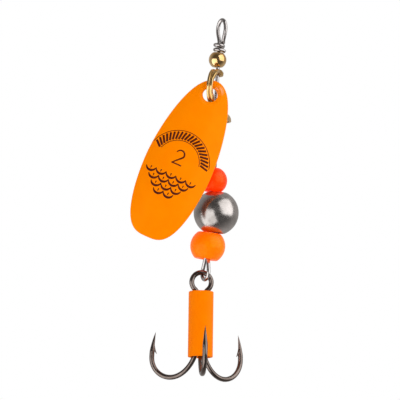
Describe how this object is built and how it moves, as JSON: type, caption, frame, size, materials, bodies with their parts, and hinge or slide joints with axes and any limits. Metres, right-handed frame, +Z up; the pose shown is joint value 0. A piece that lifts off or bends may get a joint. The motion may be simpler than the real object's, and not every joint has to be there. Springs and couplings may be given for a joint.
{
  "type": "inline spinner",
  "caption": "Inline spinner lure: a domed blade hangs from a clevis on a wire stem with loose beads, and a sleeved treble hook hangs below.",
  "frame": {"origin": "inside of the line eye's top, where a snap, swivel or knot pulls", "axes": "+Z up the straight wire stem, away from the hook; -Y is the side the blade hangs on; +X is to the right seen from there"},
  "size_m": [0.024, 0.0176, 0.0727],
  "materials": {
    "stem_steel": "bright drawn wire",
    "polished_brass": "polished",
    "clevis_brass": "pressed and folded",
    "blade_paint": "fluorescent orange gloss",
    "red_orange_bead": "fluorescent gloss",
    "ball_steel": "satin, lightly blackened",
    "orange_bead": "fluorescent gloss",
    "hook_nickel": "black nickel",
    "sleeve_plastic": "soft fluorescent tube"
  },
  "bodies": {
    "stem": {"shaft_wire": "stem_steel"},
    "top_bead": {"top_bead": "polished_brass"},
    "clevis": {"clevis": "clevis_brass"},
    "blade": {"blade": "blade_paint"},
    "bearing_cup": {"bearing_cup": "polished_brass"},
    "spacer_tube": {"spacer_tube": "polished_brass"},
    "upper_bead": {"upper_bead": "red_orange_bead"},
    "weight_ball": {"weight_ball": "ball_steel"},
    "lower_bead": {"lower_bead": "orange_bead"},
    "treble": {"treble_double_hook": "hook_nickel", "treble_single_hook": "hook_nickel", "hook_sleeve": "sleeve_plastic"}
  },
  "joints": [
    {"name": "top_bead_spin", "type": "hinge", "parent": "stem", "child": "top_bead", "pos_m": [-0.00015, 0, -0.00769], "axis": [0, 0, 1], "continuous": true},
    {"name": "clevis_spin", "type": "hinge", "parent": "stem", "child": "clevis", "pos_m": [0, 0, -0.0137], "axis": [0, 0, 1], "continuous": true},
    {"name": "blade_swing", "type": "hinge", "parent": "clevis", "child": "blade", "pos_m": [-0.00121, -0.00408, -0.01573], "axis": [-0.9588, 0.284, 0], "range_deg": [0, 75]},
    {"name": "bearing_cup_spin", "type": "hinge", "parent": "stem", "child": "bearing_cup", "pos_m": [0, 0, -0.0191], "axis": [0, 0, 1], "continuous": true},
    {"name": "spacer_spin", "type": "hinge", "parent": "stem", "child": "spacer_tube", "pos_m": [0, 0, -0.024], "axis": [0, 0, 1], "continuous": true},
    {"name": "upper_bead_spin", "type": "hinge", "parent": "stem", "child": "upper_bead", "pos_m": [0.00042, 0, -0.03196], "axis": [0, 0, 1], "continuous": true},
    {"name": "ball_spin", "type": "hinge", "parent": "stem", "child": "weight_ball", "pos_m": [0.00133, 0, -0.03834], "axis": [0, 0, 1], "continuous": true},
    {"name": "lower_bead_spin", "type": "hinge", "parent": "stem", "child": "lower_bead", "pos_m": [0.00005, 0, -0.04507], "axis": [0.0872, 0, 0.9962], "continuous": true},
    {"name": "hook_swing", "type": "hinge", "parent": "stem", "child": "treble", "pos_m": [-0.00077, 0, -0.05231], "axis": [-0.1367, 0.9885, -0.0649], "range_deg": [-75, 75]}
  ]
}
